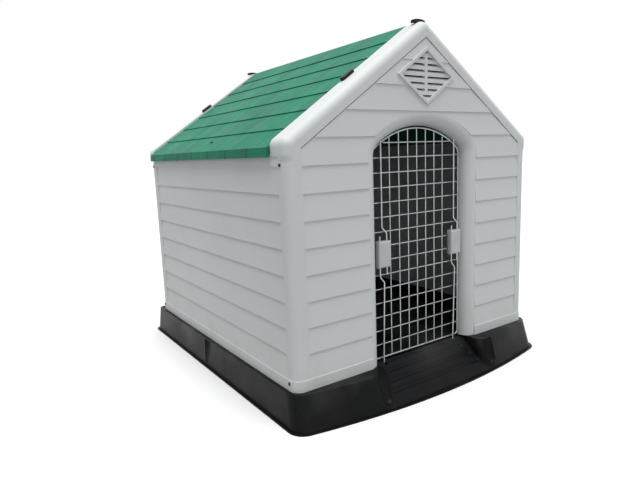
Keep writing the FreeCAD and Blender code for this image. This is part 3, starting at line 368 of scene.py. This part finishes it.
# Screws. Eight blackened pan heads with a cross recess hold the side panels to the corner posts,
# one near the top and one near the foot of each corner, and one more holds each eave.
HEAD_RADIUS = 0.004
HEAD_HEIGHT = 0.0025
HEAD_ROUND = HEAD_HEIGHT * 0.6
HEAD_ROUND_STEPS = 5
HEAD_FACETS = 40
SHANK_RADIUS = 0.002
SHANK_LENGTH = 0.009
SHANK_IN_HEAD = 0.0005
SHANK_FACETS = 20
RECESS_WIDTH = 0.0009
RECESS_LENGTH = 0.0043
RECESS_DEPTH = 0.0014
SCREW_ROWS = ((0.107, 0.4415), (0.626, 0.440))
SCREW_STATIONS = (-0.42825, 0.47875)
FIRST_TWIST = 0.4
NEXT_TWIST = 1.3
HEAD_SHADING = math.radians(35)
SCREW_BLACK = (0.01, 0.01, 0.011, 1)
SCREW_WORN = (0.03, 0.029, 0.028, 1)
SCREW_METALLIC = 0.6
SCREW_ROUGHNESS = 0.4
SCREW_GRAIN_DEPTH = 0.0001

bpy.ops.object.select_all(action="DESELECT")
bpy.ops.mesh.primitive_cylinder_add(
    vertices=HEAD_FACETS, radius=HEAD_RADIUS, depth=HEAD_HEIGHT, location=(0, 0, HEAD_HEIGHT / 2))
screw = bpy.context.object
bpy.ops.object.transform_apply(location=True, rotation=True, scale=True)
bpy.ops.object.mode_set(mode="EDIT")
bpy.ops.mesh.select_all(action="DESELECT")
bpy.ops.object.mode_set(mode="OBJECT")
for edge in screw.data.edges:
    edge.select = all(screw.data.vertices[i].co.z > HEAD_HEIGHT / 2 for i in edge.vertices)
bpy.ops.object.mode_set(mode="EDIT")
bpy.ops.mesh.select_mode(type="EDGE")
bpy.ops.mesh.bevel(offset=HEAD_ROUND, segments=HEAD_ROUND_STEPS, affect="EDGES")
bpy.ops.object.mode_set(mode="OBJECT")
arms = []
for length_x, length_y in ((RECESS_LENGTH, RECESS_WIDTH), (RECESS_WIDTH, RECESS_LENGTH)):
    bpy.ops.object.select_all(action="DESELECT")
    bpy.ops.mesh.primitive_cube_add(size=1, location=(0, 0, HEAD_HEIGHT))
    arm = bpy.context.object
    arm.scale = (length_x, length_y, RECESS_DEPTH * 2)
    bpy.ops.object.transform_apply(location=True, rotation=True, scale=True)
    recess = screw.modifiers.new("recess", "BOOLEAN")
    recess.operation = "DIFFERENCE"
    recess.object = arm
    arms.append(arm)
bpy.ops.object.select_all(action="DESELECT")
screw.select_set(True)
bpy.context.view_layer.objects.active = screw
for modifier in list(screw.modifiers):
    bpy.ops.object.modifier_apply(modifier=modifier.name)
for arm in arms:
    bpy.data.objects.remove(arm)
bpy.ops.object.select_all(action="DESELECT")
bpy.ops.mesh.primitive_cylinder_add(
    vertices=SHANK_FACETS, radius=SHANK_RADIUS, depth=SHANK_LENGTH,
    location=(0, 0, SHANK_IN_HEAD - SHANK_LENGTH / 2))
bpy.ops.object.transform_apply(location=True, rotation=True, scale=True)
screw.select_set(True)
bpy.context.view_layer.objects.active = screw
bpy.ops.object.join()
corner_screws = []
for height, face in SCREW_ROWS:
    for station in SCREW_STATIONS:
        for side in (-1, 1):
            corner_screw = bpy.data.objects.new("corner_screw", screw.data.copy())
            bpy.context.scene.collection.objects.link(corner_screw)
            outwards = Matrix.Rotation(side * math.pi / 2, 4, "Y")
            twist = Matrix.Rotation(FIRST_TWIST + NEXT_TWIST * len(corner_screws), 4, "Z")
            seat = Matrix.Translation((side * face, station, height))
            corner_screw.data.transform(seat @ outwards @ twist)
            corner_screws.append(corner_screw)
bpy.data.objects.remove(screw)
bpy.ops.object.select_all(action="DESELECT")
for corner_screw in corner_screws:
    corner_screw.select_set(True)
corner_set = corner_screws[0]
bpy.context.view_layer.objects.active = corner_set
bpy.ops.object.join()
corner_set.name = "corner_screw_set"
bpy.ops.object.shade_smooth_by_angle(angle=HEAD_SHADING)

screw_steel, tree, shader = new_material("blackened screw steel")
shade = add_range(tree, add_noise(tree, scale=300, detail=3), 0.3, 0.7)
paint(tree, shader, add_mix(tree, shade, SCREW_BLACK, SCREW_WORN))
shader.inputs["Metallic"].default_value = SCREW_METALLIC
shader.inputs["Roughness"].default_value = SCREW_ROUGHNESS
add_bump(tree, shader, add_noise(tree, scale=1500, detail=2), SCREW_GRAIN_DEPTH, strength=0.2)
dress(["roof_eave_screws"], screw_steel)
corner_set.data.materials.clear()
corner_set.data.materials.append(screw_steel)
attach(corner_set, "house")
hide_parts("corner_screws")

# Wire door and latch rods. Zinc-plated steel wire, welded into a mesh inside a thicker arched
# frame. The four rods are bent from plated wire too, and slide through the latch grips.
ZINC = (0.42, 0.43, 0.44, 1)
ZINC_DULL = (0.3, 0.31, 0.32, 1)

zinc_wire, tree, shader = new_material("zinc plated wire")
bloom = add_range(tree, add_noise(tree, scale=40, detail=4), 0.35, 0.7)
paint(tree, shader, add_mix(tree, bloom, ZINC, ZINC_DULL))
shader.inputs["Metallic"].default_value = 1
vary_gloss(tree, shader, scale=120, detail=3, glossiest=0.26, dullest=0.42)
add_grain(tree, shader, SMALL_PART_GRAIN, strength=0.15)
wire_nodes = ["door_frame_wire", "door_horizontal_wires", "door_vertical_wires"]
for side in ("left", "right"):
    wire_nodes.append(side + "_upper_rod")
    wire_nodes.append(side + "_lower_rod")
dress(wire_nodes, zinc_wire)

# Latch grips, back plates and springs. The grips and plates are glossy white plastic, and in each
# grip two open-wound steel springs push the rods apart. Pinching the rods together shortens them.
LATCH_WHITE = (0.56, 0.575, 0.58, 1)
LATCH_SHADE = (0.5, 0.515, 0.52, 1)
LATCH_ROUGHNESS = 0.3
SPRING_STEEL = (0.45, 0.45, 0.46, 1)
SPRING_DULL = (0.35, 0.35, 0.36, 1)
SPRING_ROUGHNESS = 0.35
SPRING_WIRE = 0.0009
SPRING_TURNS = 5
WIRE_FACETS = 12
STEPS_A_TURN = 28
COIL_RADIUS = 0.00315
WELD = 0.000001

latch_plastic, tree, shader = new_material("latch plastic")
shade = add_range(tree, add_noise(tree, scale=30, detail=3), 0.3, 0.7)
paint(tree, shader, add_mix(tree, shade, LATCH_WHITE, LATCH_SHADE))
shader.inputs["Roughness"].default_value = LATCH_ROUGHNESS
add_grain(tree, shader, SMALL_PART_GRAIN, strength=0.08)
spring_steel, tree, shader = new_material("spring steel")
shade = add_range(tree, add_noise(tree, scale=200, detail=3), 0.3, 0.7)
paint(tree, shader, add_mix(tree, shade, SPRING_STEEL, SPRING_DULL))
shader.inputs["Metallic"].default_value = 1
shader.inputs["Roughness"].default_value = SPRING_ROUGHNESS
for side in ("left", "right"):
    dress([side + "_latch_grip", side + "_latch_back_plate"], latch_plastic)
    for half in ("upper", "lower"):
        spring_node = side + "_" + half + "_spring"
        low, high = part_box(spring_node)
        middle_x = (low[0] + high[0]) / 2
        middle_y = (low[1] + high[1]) / 2
        bpy.ops.object.select_all(action="DESELECT")
        bpy.ops.mesh.primitive_circle_add(
            vertices=WIRE_FACETS, radius=SPRING_WIRE / 2,
            location=(COIL_RADIUS, 0, 0), rotation=(math.pi / 2, 0, 0))
        coil = bpy.context.object
        coil.name = spring_node + "_coil"
        bpy.ops.object.transform_apply(location=True, rotation=True, scale=True)
        wind = coil.modifiers.new("wind", "SCREW")
        wind.angle = 2 * math.pi
        wind.screw_offset = (high[2] - low[2] - SPRING_WIRE) / SPRING_TURNS
        wind.iterations = SPRING_TURNS
        wind.steps = STEPS_A_TURN
        wind.render_steps = STEPS_A_TURN
        bpy.ops.object.modifier_apply(modifier="wind")
        bpy.ops.object.mode_set(mode="EDIT")
        bpy.ops.mesh.select_all(action="SELECT")
        bpy.ops.mesh.remove_doubles(threshold=WELD)
        bpy.ops.mesh.fill_holes(sides=0)
        bpy.ops.mesh.select_all(action="SELECT")
        bpy.ops.mesh.normals_make_consistent(inside=False)
        bpy.ops.object.mode_set(mode="OBJECT")
        coil.data.transform(Matrix.Translation((middle_x, middle_y, low[2] + SPRING_WIRE / 2)))
        bpy.ops.object.shade_smooth_by_angle(angle=ROUND_SHADING)
        coil.data.materials.append(spring_steel)
        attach(coil, "door")
        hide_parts(spring_node)
        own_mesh(coil)

# Floor. A wide white sheet, white to the camera and in reflections; the house's dull surfaces
# get the light of a mid grey from it, so it doesn't light them strongly from below.
FLOOR_GREY = (0.28, 0.28, 0.28, 1)
FLOOR_WHITE = (0.95, 0.95, 0.95, 1)
FLOOR_SIZE = 40
FLOOR_ROUGHNESS = 0.9
FLOOR_SPECULAR = 0.1


def seen_directly(tree):
    """1 for a ray from the camera, a mirror image or a clear pane, and 0 for bounced light."""
    path = tree.nodes.new("ShaderNodeLightPath")
    seen = path.outputs["Is Camera Ray"]
    for ray in ("Is Glossy Ray", "Is Transmission Ray"):
        seen = add_math(tree, "MAXIMUM", seen, path.outputs[ray])
    return seen


bpy.ops.object.select_all(action="DESELECT")
bpy.ops.mesh.primitive_plane_add(size=FLOOR_SIZE, location=(0, 0, 0))
floor = bpy.context.object
floor.name = "floor"
floor_sheet, tree, shader = new_material("floor")
shader.inputs["Roughness"].default_value = FLOOR_ROUGHNESS
shader.inputs["Specular IOR Level"].default_value = FLOOR_SPECULAR
paint(tree, shader, add_mix(tree, seen_directly(tree), FLOOR_GREY, FLOOR_WHITE))
floor.data.materials.append(floor_sheet)

# Light. An even pale sky, a soft high lamp over the roof, and a weaker lamp that faces the front
# panel so that it doesn't fall darker than the left wall.
SKY_STRENGTH = 0.34
HIGH_LAMP = 3.05
FRONT_LAMP = 0.44
LAMP_SPREAD = 1.0

world = bpy.data.worlds.new("studio")
bpy.context.scene.world = world
world.use_nodes = True
tree = world.node_tree
sky = tree.nodes["Background"]
sky.inputs["Color"].default_value = (1, 1, 1, 1)
strength = add_range(tree, seen_directly(tree), 0, 1, SKY_STRENGTH, 1)
tree.links.new(strength, sky.inputs["Strength"])


def add_sun(name, aim, strength):
    lamp = bpy.data.lights.new(name, "SUN")
    lamp.energy = strength
    lamp.angle = LAMP_SPREAD
    lamp_object = bpy.data.objects.new(name, lamp)
    lamp_object.rotation_mode = "QUATERNION"
    lamp_object.rotation_quaternion = Vector(aim).to_track_quat("-Z", "Y")
    bpy.context.scene.collection.objects.link(lamp_object)


add_sun("high lamp", (0.04, 0.08, -1), HIGH_LAMP)
add_sun("front lamp", (0.15, 1, -0.35), FRONT_LAMP)

bpy.context.scene.view_settings.view_transform = "Standard"
